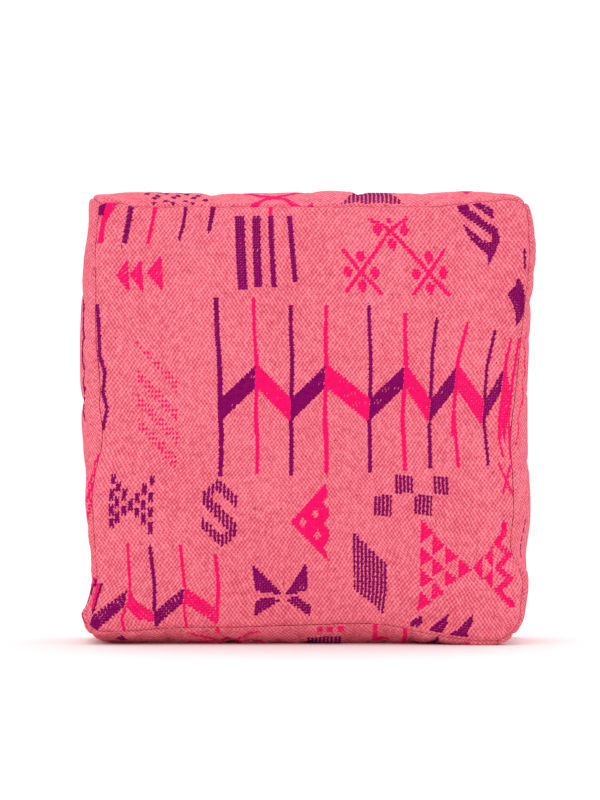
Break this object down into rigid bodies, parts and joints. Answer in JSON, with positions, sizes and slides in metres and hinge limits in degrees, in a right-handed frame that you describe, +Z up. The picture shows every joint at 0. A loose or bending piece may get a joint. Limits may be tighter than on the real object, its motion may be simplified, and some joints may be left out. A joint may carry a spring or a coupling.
{
  "type": "floor cushion",
  "caption": "Square boxed floor cushion in flat-woven cloth with geometric brocade, a zip across the back and a foam pad in a liner.",
  "frame": {"origin": "middle of the bounding box at floor level, under the lower boxing strip that the cushion stands on", "axes": "+X along the front panel to the right seen from the front, +Y through the depth towards the back and its zip, +Z up"},
  "size_m": [0.62, 0.2342, 0.614],
  "materials": {
    "kilim": "matt, coarse flat weave in salmon pink",
    "brocade_pink": "raised wool floats in hot pink",
    "brocade_purple": "raised wool floats in purple",
    "back_canvas": "matt plain cotton canvas",
    "thread": "spun polyester sewing thread",
    "calico": "unbleached calico",
    "wadding": "white polyester wadding",
    "foam": null,
    "zip_tape": "woven polyester tape",
    "zip_coil": "nylon coil",
    "zip_metal": "die-cast, nickel plated"
  },
  "bodies": {
    "cushion": {"front_panel": "kilim", "boxing_top": "kilim", "boxing_bottom": "kilim", "boxing_left": "kilim", "boxing_right": "kilim", "back_panel_upper": "back_canvas", "back_panel_lower": "back_canvas", "front_seam_thread": "thread", "back_seam_thread": "thread", "corner_seam_thread_top_left": "thread", "corner_seam_thread_top_right": "thread", "corner_seam_thread_bottom_left": "thread", "corner_seam_thread_bottom_right": "thread", "liner_front": "calico", "liner_back": "calico", "liner_seam_thread": "calico", "wadding_front": "wadding", "wadding_back": "wadding", "foam_core": "foam", "zip_tape_upper": "zip_tape", "zip_tape_lower": "zip_tape", "zip_coil_upper": "zip_coil", "zip_coil_lower": "zip_coil", "zip_top_stop_upper": "zip_metal", "zip_top_stop_lower": "zip_metal", "zip_bottom_stop": "zip_metal", "zip_topstitch": "thread"},
    "slider": {"zip_slider": "zip_metal"},
    "pull": {"zip_pull": "zip_metal"}
  },
  "joints": [
    {"name": "zip_slide", "type": "slide", "parent": "cushion", "child": "slider", "axis": [-1, 0, 0], "range_m": [0, 0.432]},
    {"name": "pull_hinge", "type": "hinge", "parent": "slider", "child": "pull", "pos_m": [0.216, 0.1152, 0.304], "axis": [0, 0, -1], "range_deg": [0, 170]}
  ]
}
